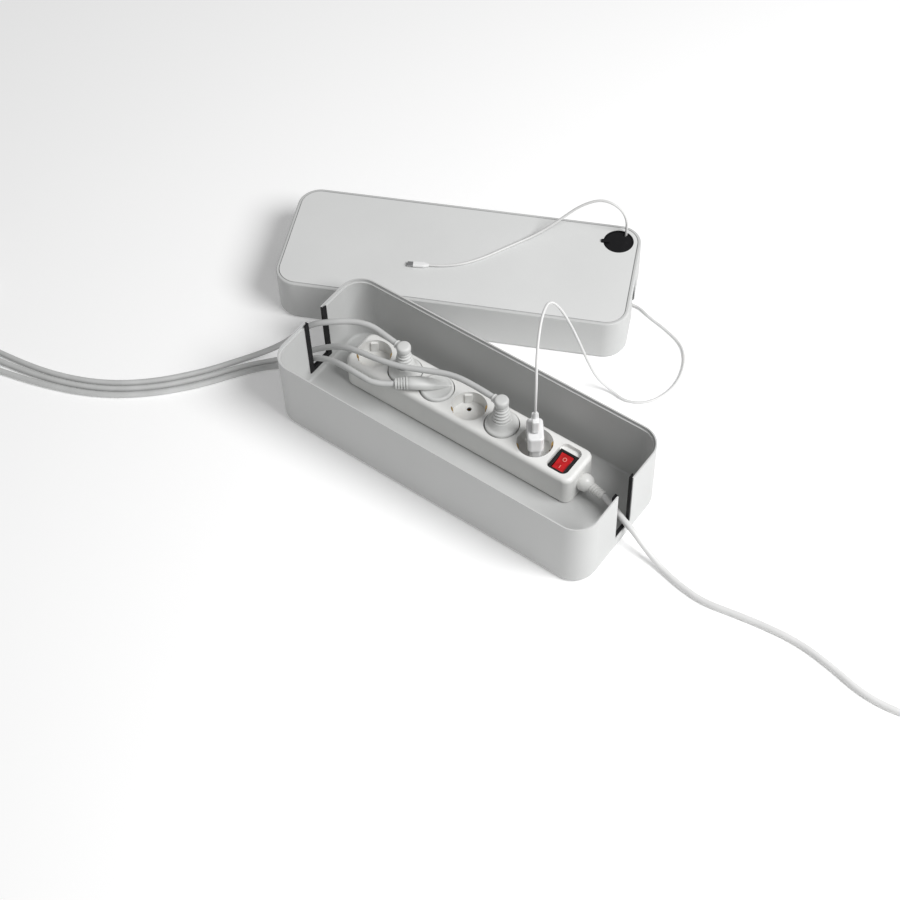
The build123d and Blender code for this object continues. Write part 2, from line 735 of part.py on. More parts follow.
def cord_coil(name, centre, diameter, coil_radius):
    """Outer shape of a coil two turns wide and two turns high, lying on the desk."""
    with BuildPart() as coil:
        with BuildSketch(upright_plane(*centre)):
            with Locations((coil_radius, diameter + desk_clearance)):
                RectangleRounded(2 * diameter, 2 * diameter, diameter / 2 - 0.1)
        revolve(axis=Axis((centre[0], centre[1], 0), (0, 0, 1)))
    save(coil, name)


device_z = device_cord / 2 + desk_clearance
supply_z = supply_cord / 2 + desk_clearance
usb_z = usb_cord / 2 + desk_clearance
cord_seat = knob_stub + 0.3
knob_a = Vector(socket_xs[1], strip_y, knob_z)
knob_c = Vector(socket_xs[4], strip_y, knob_z)
relief_b = Vector(plug_b_x, strip_y, arm_z)

# from plug A, high through the tray's left slot, down to the desk and away to its coil
cord_a_points = [
    knob_a + way(cord_a_turn) * cord_seat, knob_a + way(cord_a_turn) * 28, (-147, 32, 83),
    (-168, 26, 82), (-187, 14, 80), (-205, 5, 74), (-219, 2, 60), (-231, -4, 44), (-245, -12, 28),
    (-262, -22, 14), (-281, -38, device_z + 0.5), (-309, -82, device_z), (-348, -127, device_z),
    (-393, -160, device_z), (-449, -182, device_z), (-517, -193, device_z), (-580, -196, device_z),
    (-640, -196.5, device_z),
]
cord_tube("cord_a", cord_a_points, device_cord)
coil_a = (-640, -196.5 + device_coil_radius + device_cord / 2)
cord_coil("cord_a_coil", coil_a, device_cord, device_coil_radius)

# from the flat plug, low through the slot
cord_b_points = [
    relief_b + arm_way * relief_b_end, relief_b + arm_way * (relief_b_end + 20), (-130, -15, 56.5),
    (-152, -12.5, 53.5), (-172, -9, 46), (-190, -8, 37.5), (-206, -8.5, 26.5), (-219, -12, 14.5),
    (-234, -20, 6), (-253, -33, device_z),
    (-272, -57, device_z), (-298, -97, device_z), (-336, -139.5, device_z), (-384, -174.6, device_z),
    (-443, -198, device_z), (-508, -214, device_z), (-570, -226, device_z),
]
cord_tube("cord_b", cord_b_points, device_cord)
coil_b = (-570, -226 - device_coil_radius - device_cord / 2)
cord_coil("cord_b_coil", coil_b, device_cord, device_coil_radius)

# from plug C, over the flat plug, past the neck of plug A and through the slot between the others
cord_c_points = [
    knob_c + way(cord_c_turn) * cord_seat, knob_c + way(cord_c_turn) * 40, (-38, 29, 78), (-64, 20, 75),
    (-92, 10, 72), (-122, 5.5, 69.5),
    (-150, 5, 66), (-173, 5, 56.5), (-192, 3, 44), (-208, 0, 32), (-222, -4.5, 20), (-238, -12, 9),
    (-255, -24, device_z), (-276, -48, device_z), (-305, -91, device_z), (-342, -133.2, device_z),
    (-388.5, -167.3, device_z), (-446, -190, device_z), (-514, -203, device_z), (-580, -209, device_z),
    (-640, -211, device_z), (-700, -211.5, device_z),
]
cord_tube("cord_c", cord_c_points, device_cord)
coil_c = (-700, -211.5 - device_coil_radius - device_cord / 2)
cord_coil("cord_c_coil", coil_c, device_cord, device_coil_radius)

# supply cord: out of the gland, through the right slot and away over the desk
supply_points = [
    supply_exit, supply_exit + supply_heading * 12.5, (189, 11, 27.5), (201.5, 5, 28.5), (215, 1.5, 25),
    (228.5, -2, 17.5), (242, -4.5, 9.5), (260, -9, supply_z), (285, -15, supply_z),
    (313, -18, supply_z), (345, -12, supply_z), (383, -6, supply_z), (420, -4, supply_z),
    (458, -10, supply_z), (495, -19, supply_z), (530, -18, supply_z), (562, -9, supply_z),
    (592, -6, supply_z),
]
cord_tube("supply_cord", supply_points, supply_cord)
supply_coil = (592, -6 + supply_coil_radius + supply_cord / 2)
cord_coil("supply_cord_coil", supply_coil, supply_cord, supply_coil_radius)


def on_lid(x, y, z):
    """A point given along the lid's own length and width."""
    return lid_plane.from_local_coords(Vector(x, y, z))


# charging cable: up from the charger, over the tray's rear wall, along the desk,
# through the lid's end slot, out of the outlet and across the pad
pad_z = lid_height + usb_z
notch_x = outlet_x + notch_way.X * notch_radius
notch_y = outlet_y + notch_way.Y * notch_radius
usb_points = [
    (charger_x, strip_y, usb_relief_top), (charger_x, strip_y, 114), (71, 32, 133), (62, 45, 152),
    (52, 63, 168), (43, 83, 178), (38, 102, 177), (40, 117, 157), (46, 129, 125), (53, 139, 88),
    (60, 148, 50), (68, 156, 18), (84, 161, 3), (107, 157, usb_z), (130, 172, usb_z),
    (140, 205, usb_z), (133, 238, usb_z), (116, 262, usb_z), (88, 272, usb_z), (62, 277, usb_z),
    on_lid(208, 6, usb_z + 0.6), on_lid(190, 5, 5), on_lid(172, 10, 6), on_lid(160, 26, 9),
    on_lid(163, 44, 16), on_lid(176, 57, 28), on_lid(notch_x, notch_y, 44),
    on_lid(notch_x, notch_y + 0.2, 62), on_lid(notch_x, notch_y, 80), on_lid(175, 66, 97),
    on_lid(154, 70, 103), on_lid(130, 66, 93), on_lid(108, 56, 76), on_lid(84, 42, pad_z + 3),
    on_lid(54, 20, pad_z), on_lid(22, -8, pad_z), on_lid(-8, -22, pad_z), on_lid(-30, -24, pad_z + 0.6),
]
cord_tube("usb_cord", usb_points, usb_cord)

# plug at the phone end, lying on the pad
tip_way = (on_lid(-30, -24, pad_z + 0.6) - on_lid(-8, -22, pad_z)).normalized()
tip_plane = Plane(origin=on_lid(-30, -24, pad_z + 0.6), x_dir=(0, 0, 1), z_dir=tip_way)
with BuildPart() as phone_grip:
    with BuildSketch(tip_plane):
        Circle(1.9)
    with BuildSketch(tip_plane.offset(6)):
        RectangleRounded(4, 7.4, 1.8)
    loft()
    with BuildSketch(tip_plane.offset(6)):
        RectangleRounded(4, 7.4, 1.8)
    extrude(amount=12)
save(phone_grip, "phone_grip")

with BuildPart() as phone_tip:
    with BuildSketch(tip_plane.offset(18)):
        RectangleRounded(1.6, 6.6, 0.7)
    extrude(amount=6.6)
save(phone_tip, "phone_tip")


# ---- connectors and supply plug on the desk --------------------------------------
def device_connector(name, coil_centre, coil_turn, heading):
    """Three-pole appliance connector that ends a device cord, beside its coil.

    coil_turn is where on the coil the cord leaves it, and heading is the way it goes.
    """
    outer_turn = device_coil_radius + device_cord / 2
    leave = Vector(coil_centre[0], coil_centre[1], 1.5 * device_cord + desk_clearance)
    start = leave + way(coil_turn) * outer_turn + way(heading) * 19
    plane = Plane(origin=start, x_dir=(0, 0, 1), z_dir=way(heading))
    with BuildPart() as connector:
        with BuildSketch(plane):
            Circle(device_cord / 2 + 0.8)
        with BuildSketch(plane.offset(relief_length)):
            RectangleRounded(connector_height - 5, connector_width - 7, 4)
        loft()
        with BuildSketch(plane.offset(relief_length)):
            RectangleRounded(connector_height, connector_width, 3)
        extrude(amount=connector_length)
        # three blades go into these
        with BuildSketch(plane.offset(relief_length + connector_length - 17)):
            with Locations((2.5, 0), (-2, 7), (-2, -7)):
                Rectangle(4, 2)
        extrude(amount=17, mode=Mode.SUBTRACT)
    save(connector, name)


device_connector("connector_a", coil_a, 180, 90)
device_connector("connector_b", coil_b, 270, 0)
device_connector("connector_c", coil_c, 270, 0)

# straight supply plug, lying on the desk beside the coil
leave_z = 1.5 * supply_cord + desk_clearance
supply_plug_z = plug_radius + desk_clearance
supply_start = Vector(supply_coil[0] + supply_coil_radius + supply_cord / 2, supply_coil[1] + 22, leave_z)
plug_start = Vector(supply_start.X, supply_start.Y, supply_plug_z)
heading_y = Vector(0, 1, 0)
with BuildPart() as supply_plug_body:
    with BuildSketch(Plane(origin=supply_start, z_dir=heading_y)):
        Circle(supply_cord / 2 + 0.8)
    with BuildSketch(Plane(origin=plug_start + heading_y * 34, z_dir=heading_y)):
        Circle(11)
    loft()
    with BuildSketch(Plane(origin=plug_start + heading_y * 34, z_dir=heading_y)):
        Circle(12)
    with BuildSketch(Plane(origin=plug_start + heading_y * 46, z_dir=heading_y)):
        Circle(plug_radius - 1)
    loft()
    with BuildSketch(Plane(origin=plug_start + heading_y * 46, z_dir=heading_y)):
        Circle(plug_radius)
    extrude(amount=20)
    clip_grooves(Plane(origin=plug_start + heading_y * 49, x_dir=(0, 0, 1), z_dir=heading_y), 17)
save(supply_plug_body, "supply_plug_body")
plug_pins("supply_plug_pins", plug_start + heading_y * 66, heading_y, Vector(1, 0, 0), pin_radius)
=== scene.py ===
"""Looks of the desk cable box: cords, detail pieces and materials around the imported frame."""
from math import cos, pi, radians, sin

import bmesh
import bpy
from mathutils import Matrix, Vector


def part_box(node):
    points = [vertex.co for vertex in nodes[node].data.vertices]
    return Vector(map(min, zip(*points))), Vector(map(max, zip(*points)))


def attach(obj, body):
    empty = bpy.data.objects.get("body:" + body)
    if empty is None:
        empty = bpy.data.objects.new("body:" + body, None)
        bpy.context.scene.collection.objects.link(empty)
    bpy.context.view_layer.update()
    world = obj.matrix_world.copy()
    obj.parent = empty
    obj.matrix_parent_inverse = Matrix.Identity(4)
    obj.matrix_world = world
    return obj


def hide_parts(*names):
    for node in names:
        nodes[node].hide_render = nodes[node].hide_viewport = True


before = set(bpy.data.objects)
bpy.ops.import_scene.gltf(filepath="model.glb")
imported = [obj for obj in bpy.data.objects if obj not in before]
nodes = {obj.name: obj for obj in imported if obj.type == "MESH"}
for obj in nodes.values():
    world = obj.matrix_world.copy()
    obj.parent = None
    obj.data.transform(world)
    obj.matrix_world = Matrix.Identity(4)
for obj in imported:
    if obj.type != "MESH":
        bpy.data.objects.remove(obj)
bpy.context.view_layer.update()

# Places and sizes are in millimetres and angles in degrees, except where a name or comment says so.
MM = 0.001
STRIP_Y = 26.5
STRIP_TOP = 44.0
SOCKET_XS = [-142 + 43.2 * n for n in range(6)]
PLUG_A_SOCKET, PLUG_B_SOCKET, PLUG_C_SOCKET, CHARGER_SOCKET = 1, 2, 4, 5
OPEN_SOCKETS = (0, 3)
CLIP_TURNS = (38, 218)
LID_X, LID_Y, LID_TURN, LID_HEIGHT = -145.3, 191.1, 24.9, 57.0

# cord diameters in millimetres, and lengths in metres
DEVICE_CORD, SUPPLY_CORD, USB_CORD = 6.8, 6.8, 3.0
CLEARANCE = 0.1

# shared by every material: octaves of the two noises, and depth of the grain in metres
CLOUD_DETAIL, GRAIN_DETAIL, GRAIN_DEPTH = 5.0, 3.0, 0.0004


# ---- materials ---------------------------------------------------------------------
def material(name, colour, rough, grain=900.0, bump=0.05, shade=0.03, cloud=14.0,
             metal=0.0, specular=0.5, coat=0.0, glow=None):
    """Moulded or metal surface: fine grain in the bump, slow drifts of colour and roughness.

    grain and cloud are the scales of the two noises, bump is the grain's strength, shade the
    share by which the colour drifts, and glow a pair of colour and strength.
    """
    rough_spread = 0.08
    m = bpy.data.materials.new(name)
    m.use_nodes = True
    nt = m.node_tree
    p = nt.nodes["Principled BSDF"]
    p.inputs["Metallic"].default_value = metal
    p.inputs["Specular IOR Level"].default_value = specular
    p.inputs["Coat Weight"].default_value = coat
    place = nt.nodes.new("ShaderNodeTexCoord")
    slow = nt.nodes.new("ShaderNodeTexNoise")
    slow.inputs["Scale"].default_value = cloud
    slow.inputs["Detail"].default_value = CLOUD_DETAIL
    nt.links.new(place.outputs["Object"], slow.inputs["Vector"])
    ramp = nt.nodes.new("ShaderNodeValToRGB")
    low, high = ramp.color_ramp.elements
    low.position, high.position = 0.3, 0.7
    low.color = [c * (1 - shade) for c in colour] + [1]
    high.color = [min(1.0, c * (1 + shade)) for c in colour] + [1]
    nt.links.new(slow.outputs["Fac"], ramp.inputs["Fac"])
    nt.links.new(ramp.outputs["Color"], p.inputs["Base Color"])
    spread = nt.nodes.new("ShaderNodeMapRange")
    spread.inputs["To Min"].default_value = rough - rough_spread
    spread.inputs["To Max"].default_value = rough + rough_spread
    nt.links.new(slow.outputs["Fac"], spread.inputs["Value"])
    nt.links.new(spread.outputs["Result"], p.inputs["Roughness"])
    fine = nt.nodes.new("ShaderNodeTexNoise")
    fine.inputs["Scale"].default_value = grain
    fine.inputs["Detail"].default_value = GRAIN_DETAIL
    nt.links.new(place.outputs["Object"], fine.inputs["Vector"])
    relief = nt.nodes.new("ShaderNodeBump")
    relief.inputs["Strength"].default_value = bump
    relief.inputs["Distance"].default_value = GRAIN_DEPTH
    nt.links.new(fine.outputs["Fac"], relief.inputs["Height"])
    nt.links.new(relief.outputs["Normal"], p.inputs["Normal"])
    if glow:
        p.inputs["Emission Color"].default_value = list(glow[0]) + [1]
        p.inputs["Emission Strength"].default_value = glow[1]
    return m


shell = material("shell_plastic", (0.56, 0.565, 0.56), 0.62, grain=1500, bump=0.22,
                 shade=0.025, cloud=9)
pad = material("pad_plastic", (0.70, 0.705, 0.70), 0.66, grain=2100, bump=0.3, shade=0.02, cloud=11)
rubber = material("black_lining", (0.011, 0.011, 0.012), 0.6, grain=1300, bump=0.15,
                  shade=0.25, specular=0.25)
outlet = material("outlet_plastic", (0.008, 0.008, 0.009), 0.5, grain=1700, bump=0.12,
                  shade=0.2, specular=0.22)
strip = material("strip_plastic", (0.78, 0.78, 0.765), 0.33, grain=1100, bump=0.06,
                 shade=0.02, cloud=20)
switch_frame = material("switch_frame", (0.012, 0.012, 0.012), 0.3, grain=1400, bump=0.1, shade=0.2)
switch_red = material("switch_red", (0.42, 0.010, 0.014), 0.32, grain=700, bump=0.03, shade=0.35,
                      cloud=150, specular=0.35, glow=((0.75, 0.03, 0.02), 0.1))
brass = material("contact_brass", (0.62, 0.40, 0.13), 0.32, grain=500, bump=0.08,
                 shade=0.12, cloud=60, metal=1)
nickel = material("pin_nickel", (0.66, 0.65, 0.62), 0.24, shade=0.06, cloud=70, metal=1)
steel = material("bright_steel", (0.6, 0.6, 0.61), 0.3, grain=1200, bump=0.08,
                 shade=0.08, cloud=50, metal=1)
plug_plastic = material("plug_plastic", (0.66, 0.665, 0.655), 0.5, grain=1300, bump=0.14,
                        shade=0.04, cloud=30)
charger_white = material("charger_white", (0.84, 0.84, 0.84), 0.18, bump=0.03,
                         shade=0.015, cloud=30, coat=0.4)
cord_grey = material("cord_grey", (0.57, 0.575, 0.57), 0.5, grain=1000, bump=0.12,
                     shade=0.05, cloud=45)
cord_white = material("cord_white", (0.68, 0.68, 0.675), 0.42, grain=1000, bump=0.08, cloud=45)
mark_white = material("mark_white", (0.80, 0.30, 0.26), 0.45, grain=800, bump=0.05)

BY_NODE = {
    shell: ["tray_shell", "lid_shell"],
    pad: ["lid_pad"],
    rubber: ["slot_trim_left", "slot_trim_right", "lid_trim_left", "lid_trim_right", "feet"],
    outlet: ["outlet_ring", "outlet_cap"],
    strip: ["strip_base", "strip_cover", "strip_gland", "supply_plug_body"],
    switch_frame: ["switch_bezel"],
    switch_red: ["switch_rocker"],
    brass: ["live_bar", "neutral_bar", "earth_rail"],
    nickel: ["plug_a_pins", "plug_b_pins", "plug_c_pins", "charger_pins", "supply_plug_pins"],
    steel: ["cover_screws", "usb_shell", "phone_tip"],
    plug_plastic: ["plug_a_body", "plug_b_body", "plug_c_body", "plug_b_relief",
                   "connector_a", "connector_b", "connector_c"],
    charger_white: ["charger_body", "usb_grip", "phone_grip"],
    cord_grey: ["cord_a", "cord_b", "cord_c", "cord_a_coil", "cord_b_coil", "cord_c_coil"],
    cord_white: ["supply_cord", "supply_cord_coil", "usb_cord"],
}
for look, names in BY_NODE.items():
    for name in names:
        nodes[name].data.materials.clear()
        nodes[name].data.materials.append(look)


# ---- helpers -----------------------------------------------------------------------
def way(turn):
    """Level direction at the given turn from +X."""
    return Vector((cos(radians(turn)), sin(radians(turn)), 0))


def on_lid(x, y, z):
    """Place given in the lid's own axes, from the middle of its footprint."""
    return (Vector((LID_X, LID_Y, 0)) + way(LID_TURN) * x + way(LID_TURN + 90) * y
            + Vector((0, 0, z)))


def cord_curve(name, points, diameter, look, body):
    """Smooth tube whose control points are the cord's route, given in millimetres."""
    data = bpy.data.curves.new(name, "CURVE")
    data.dimensions = "3D"
    data.bevel_depth = diameter / 2 * MM
    data.bevel_resolution = 5
    data.resolution_u = 10
    data.use_fill_caps = True
    spline = data.splines.new("NURBS")
    spline.points.add(len(points) - 1)
    for knot, point in zip(spline.points, points):
        knot.co = (point[0] * MM, point[1] * MM, point[2] * MM, 1)
    spline.order_u = 3
    spline.use_endpoint_u = True
    data.materials.append(look)
    obj = bpy.data.objects.new(name, data)
    bpy.context.scene.collection.objects.link(obj)
    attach(obj, body)
    return obj


def between(value, keys):
    """Smooth value of a list of (place, level) keys."""
    for (a, low), (b, high) in zip(keys, keys[1:]):
        if value <= b:
            t = (value - a) / (b - a)
            t = t * t * (3 - 2 * t)
            return low + (high - low) * t
    return keys[-1][1]


def coil_points(centre, radius, diameter, start, turns, sense):
    """Turns of a neat coil: outer and inner turn below, then inner and outer turn above."""
    points = []
    per_turn = 18
    steps = round(per_turn * turns)
    # the curve cuts inside its control points, so they stand a little outside the coil
    reach = 1 / cos(pi / per_turn) ** 0.5
    side = [(0, 0.5), (0.26, 0.5), (0.36, -0.5), (0.72, -0.5), (0.84, 0.5), (1, 0.5)]
    level = [(0, 0.5), (0.48, 0.5), (0.6, 1.5), (1, 1.5)]
    for n in range(1, steps + 1):
        share = n / steps
        turn = radians(start) + sense * 2 * pi * turns * share
        r = (radius + between(share, side) * diameter) * reach
        z = between(share, level) * diameter + CLEARANCE
        points.append((centre[0] + r * cos(turn), centre[1] + r * sin(turn), z))
    return points


def mesh_piece(name, build, look, body, smooth=True):
    """Piece made by a function that fills a bmesh in millimetres."""
    bm = bmesh.new()
    build(bm)
    bmesh.ops.scale(bm, vec=(MM, MM, MM), verts=bm.verts)
    bmesh.ops.recalc_face_normals(bm, faces=bm.faces)
    mesh = bpy.data.meshes.new(name)
    bm.to_mesh(mesh)
    bm.free()
    if smooth:
        for polygon in mesh.polygons:
            polygon.use_smooth = True
    mesh.materials.append(look)
    obj = bpy.data.objects.new(name, mesh)
    bpy.context.scene.collection.objects.link(obj)
    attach(obj, body)
    return obj


def lathe(bm, profile, place=Matrix.Identity(4), steps=48, ring=False):
    """Surface turned about the local Z of place, from (radius, height) pairs.

    With ring, the profile closes on itself.
    """
    rings = []
    for n in range(steps):
        a = 2 * pi * n / steps
        rings.append([bm.verts.new(place @ Vector((r * cos(a), r * sin(a), z)))
                      for r, z in profile])
    count = len(profile)
    for n in range(steps):
        a, b = rings[n], rings[(n + 1) % steps]
        for k in range(count if ring else count - 1):
            m = (k + 1) % count
            bm.faces.new((a[k], b[k], b[m], a[m]))
    bmesh.ops.remove_doubles(bm, verts=bm.verts, dist=0.0005)


def block(bm, size, place):
    """Box with the given sizes, centred on place and turned with it."""
    verts = bmesh.ops.create_cube(bm, size=1)["verts"]
    bmesh.ops.scale(bm, vec=size, verts=verts)
    bmesh.ops.transform(bm, matrix=place, verts=verts)


def facing(point, direction):
    """Placement at point whose local Z runs along direction."""
    turn = Vector(direction).to_track_quat("Z", "Y").to_matrix().to_4x4()
    return Matrix.Translation(point) @ turn


def soften(obj, width, segments=3, angle=35):
    """Rounds the sharp edges of a piece and keeps its broad faces flat."""
    bevel = obj.modifiers.new("round", "BEVEL")
    bevel.width = width * MM
    bevel.segments = segments
    bevel.limit_method = "ANGLE"
    bevel.angle_limit = radians(angle)
    bevel.harden_normals = True
    return obj


# ---- cords -------------------------------------------------------------------------
# heights of the cords' middles where they lie on the desk
device_z = DEVICE_CORD / 2 + CLEARANCE
supply_z = SUPPLY_CORD / 2 + CLEARANCE
usb_z = USB_CORD / 2 + CLEARANCE
# a cord leaves its upright plug through a knob, cord_seat out from the plug's middle
knob_z = STRIP_TOP + 37
cord_seat = 11.3
knob_turn_a, knob_turn_c = 172, 176
knob_a = Vector((SOCKET_XS[PLUG_A_SOCKET], STRIP_Y, knob_z))
knob_c = Vector((SOCKET_XS[PLUG_C_SOCKET], STRIP_Y, knob_z))
# the flat plug's arm points away from the switch, and its relief ends relief_b_end from the middle
arm_way = way(38) * -1
relief_b = Vector((SOCKET_XS[PLUG_B_SOCKET], STRIP_Y, STRIP_TOP + 11))
relief_b_end = 46

route_a = [
    knob_a + way(knob_turn_a) * cord_seat, knob_a + way(knob_turn_a) * 28, (-147, 32, 83),
    (-168, 26, 82), (-187, 14, 80), (-205, 5, 74), (-219, 2, 60), (-231, -4, 44), (-245, -12, 28),
    (-262, -22, 14), (-281, -38, device_z + 0.5), (-309, -82, device_z), (-348, -127, device_z),
    (-393, -160, device_z), (-449, -182, device_z), (-517, -193, device_z), (-580, -196, device_z),
    (-640, -196.5, device_z),
]
route_b = [
    relief_b + arm_way * relief_b_end, relief_b + arm_way * (relief_b_end + 20), (-130, -15, 56.5),
    (-152, -12.5, 53.5), (-172, -9, 46), (-190, -8, 37.5), (-206, -8.5, 26.5), (-219, -12, 14.5),
    (-234, -20, 6), (-253, -33, device_z), (-272, -57, device_z), (-298, -97, device_z),
    (-336, -139.5, device_z), (-384, -174.6, device_z), (-443, -198, device_z),
    (-508, -214, device_z), (-570, -226, device_z),
]
route_c = [
    knob_c + way(knob_turn_c) * cord_seat, knob_c + way(knob_turn_c) * 40, (-38, 29, 78),
    (-64, 20, 75), (-92, 10, 72), (-122, 5.5, 69.5), (-150, 5, 66), (-173, 5, 56.5), (-192, 3, 44),
    (-208, 0, 32), (-222, -4.5, 20), (-238, -12, 9), (-255, -24, device_z), (-276, -48, device_z),
    (-305, -91, device_z), (-342, -133.2, device_z), (-388.5, -167.3, device_z),
    (-446, -190, device_z), (-514, -203, device_z), (-580, -209, device_z),
    (-640, -211, device_z), (-700, -211.5, device_z),
]
gland_foot = Vector((134.1, STRIP_Y, 24))
supply_exit = Vector((165, 21.5, 25))
supply_turn = -18
route_supply = [
    supply_exit, supply_exit + way(supply_turn) * 12.5, (189, 11, 27.5), (201.5, 5, 28.5),
    (215, 1.5, 25), (228.5, -2, 17.5), (242, -4.5, 9.5), (260, -9, supply_z), (285, -15, supply_z),
    (313, -18, supply_z), (345, -12, supply_z), (383, -6, supply_z), (420, -4, supply_z),
    (458, -10, supply_z), (495, -19, supply_z), (530, -18, supply_z), (562, -9, supply_z),
    (592, -6, supply_z),
]

# radius of the coils, and how far past the coil a cord bends and ends
DEVICE_COIL, DEVICE_BEND, DEVICE_END = 40.0, 9, 19.5
SUPPLY_COIL, SUPPLY_BEND, SUPPLY_END = 42.0, 11, 22.5
# each device cord: its route, then the coil's centre, start, turns and sense, and the end's heading
DEVICE_CORDS = {
    "a": (route_a, (-640, -153.1), 270, 3.25, -1, 90),
    "b": (route_b, (-570, -269.4), 90, 3.5, 1, 0),
    "c": (route_c, (-700, -254.9), 90, 2.5, 1, 0),
}


def wound_end(coil, heading, bend, end):
    """Coil's points and then two along heading: where the cord straightens, and where it ends."""
    last = Vector(coil[-1])
    return coil + [last + way(heading) * bend, last + way(heading) * end]


for letter, (route, centre, start, turns, sense, heading) in DEVICE_CORDS.items():
    coil = coil_points(centre, DEVICE_COIL, DEVICE_CORD, start, turns, sense)
    points = route + wound_end(coil, heading, DEVICE_BEND, DEVICE_END)
    tube = cord_curve("cord_%s_line" % letter, points, DEVICE_CORD, cord_grey, "tray")
    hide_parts("cord_" + letter, "cord_%s_coil" % letter)

coil = coil_points((592, 39.4), SUPPLY_COIL, SUPPLY_CORD, 270, 3.25, 1)
points = route_supply + wound_end(coil, 90, SUPPLY_BEND, SUPPLY_END)
supply_line = cord_curve("supply_cord_line", points, SUPPLY_CORD, cord_white, "tray")
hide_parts("supply_cord", "supply_cord_coil")

# the USB cable goes from the charger over the desk, through the right slot of the lid, up
# through the notch in the outlet's cap, and onto the pad
charger_x = SOCKET_XS[CHARGER_SOCKET]
usb_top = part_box("usb_grip")[1].z / MM
notch = way(62.7) * 15.2
outlet_x, outlet_y = 177, 51
notch_x, notch_y = outlet_x + notch.x, outlet_y + notch.y
pad_z = LID_HEIGHT + USB_CORD / 2 + 0.3
route_usb = [
    (charger_x, STRIP_Y, usb_top), (charger_x, STRIP_Y, 114), (71, 32, 133), (62, 45, 152),
    (52, 63, 168), (43, 83, 178), (38, 102, 177), (40, 117, 157), (46, 129, 125), (53, 139, 88),
    (60, 148, 50), (68, 156, 18), (84, 161, 3), (107, 157, usb_z), (130, 172, usb_z),
    (140, 205, usb_z), (133, 238, usb_z), (116, 262, usb_z), (88, 272, usb_z), (62, 277, usb_z),
    on_lid(208, 6, usb_z + 0.6), on_lid(190, 5, 5), on_lid(172, 10, 6), on_lid(160, 26, 9),
    on_lid(163, 44, 16), on_lid(176, 57, 28), on_lid(notch_x, notch_y, 44),
    on_lid(notch_x, notch_y + 0.2, 62), on_lid(notch_x, notch_y, 80), on_lid(175, 66, 97),
    on_lid(154, 70, 103), on_lid(130, 66, 93), on_lid(108, 56, 76), on_lid(84, 42, pad_z + 3),
    on_lid(54, 20, pad_z), on_lid(22, -8, pad_z), on_lid(-8, -22, pad_z),
    on_lid(-30, -24, pad_z + 0.6),
]
usb_line = cord_curve("usb_cord_line", route_usb, USB_CORD, cord_white, "lid")
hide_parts("usb_cord")


# ---- detail pieces -----------------------------------------------------------------
SWITCH = Vector((111.5, 23.5, 37.5))
ROCKER_PLACE = Matrix.Translation(SWITCH) @ Matrix.Rotation(radians(9), 4, "X")
ROCKER_REACH, ROCKER_HALF_WIDTH, ROCKER_MIDDLE, ROCKER_DISH = 10.6, 7.4, 2.0, 1.7


def dished(y):
    """Height of the rocker's dished face above its pivot."""
    return ROCKER_MIDDLE + ROCKER_DISH * (y / ROCKER_REACH) ** 2


def rocker(bm):
    """Lens of the rocker: two raised ends with a hollow between them."""
    steps = 8
    face = [ROCKER_REACH * (n / steps - 1) for n in range(2 * steps + 1)]
    outline = [(y, dished(y)) for y in face]
    outline += [(ROCKER_REACH, -2.5), (9.4, -4.5), (0, -7), (-9.4, -4.5), (-ROCKER_REACH, -2.5)]
    ends = [[bm.verts.new(ROCKER_PLACE @ Vector((side * ROCKER_HALF_WIDTH, y, z)))
             for y, z in outline] for side in (-1, 1)]
    count = len(outline)
    for n in range(count):
        m = (n + 1) % count
        bm.faces.new((ends[0][n], ends[0][m], ends[1][m], ends[1][n]))
    for end in ends:
        bm.faces.new(end)


lens = mesh_piece("rocker_lens", rocker, switch_red, "rocker", smooth=False)
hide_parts("switch_rocker")
soften(lens, 0.5, 3)


def rocker_marks(bm):
    """Ring on the far half of the rocker and bar on the near half."""
    slope = 8
    ring_y, bar_y = 4.6, -4.8
    ring_place = Matrix.Translation((0, ring_y, dished(ring_y) + 0.1))
    bar_place = Matrix.Translation((0, bar_y, dished(bar_y) + 0.12))
    lathe(bm, [(1.6, 0.0), (2.3, 0.0), (2.3, 0.2), (1.6, 0.2)],
          ROCKER_PLACE @ ring_place @ Matrix.Rotation(radians(slope), 4, "X"), 36, ring=True)
    block(bm, (0.7, 4.2, 0.2), ROCKER_PLACE @ bar_place @ Matrix.Rotation(radians(-slope), 4, "X"))


mesh_piece("switch_marks", rocker_marks, mark_white, "rocker", smooth=False)


def switch_rim(bm):
    """Raised black frame round the rocker: two long sides and the two ends between them."""
    height, middle_z = 2.4, 40.4
    sides = [(-9.6, 0, 3.8, 29), (9.6, 0, 3.8, 29), (0, 12.9, 16, 3.2), (0, -12.9, 16, 3.2)]
    for x, y, wide, deep in sides:
        block(bm, (wide, deep, height), Matrix.Translation((SWITCH.x + x, SWITCH.y + y, middle_z)))


rim = mesh_piece("switch_rim", switch_rim, switch_frame, "tray", smooth=False)
soften(rim, 0.5, 2)

# lower part of a plug, from the face with the pins up to the shoulder, as (radius, height)
PLUG_FACE, PLUG_RADIUS = 26.8, 18.6
PLUG_SKIRT = [(0, PLUG_FACE), (PLUG_RADIUS - 0.8, PLUG_FACE), (PLUG_RADIUS, PLUG_FACE + 0.8),
              (PLUG_RADIUS, 45.0), (PLUG_RADIUS - 0.3, 46.0), (PLUG_RADIUS - 1.2, 46.7)]


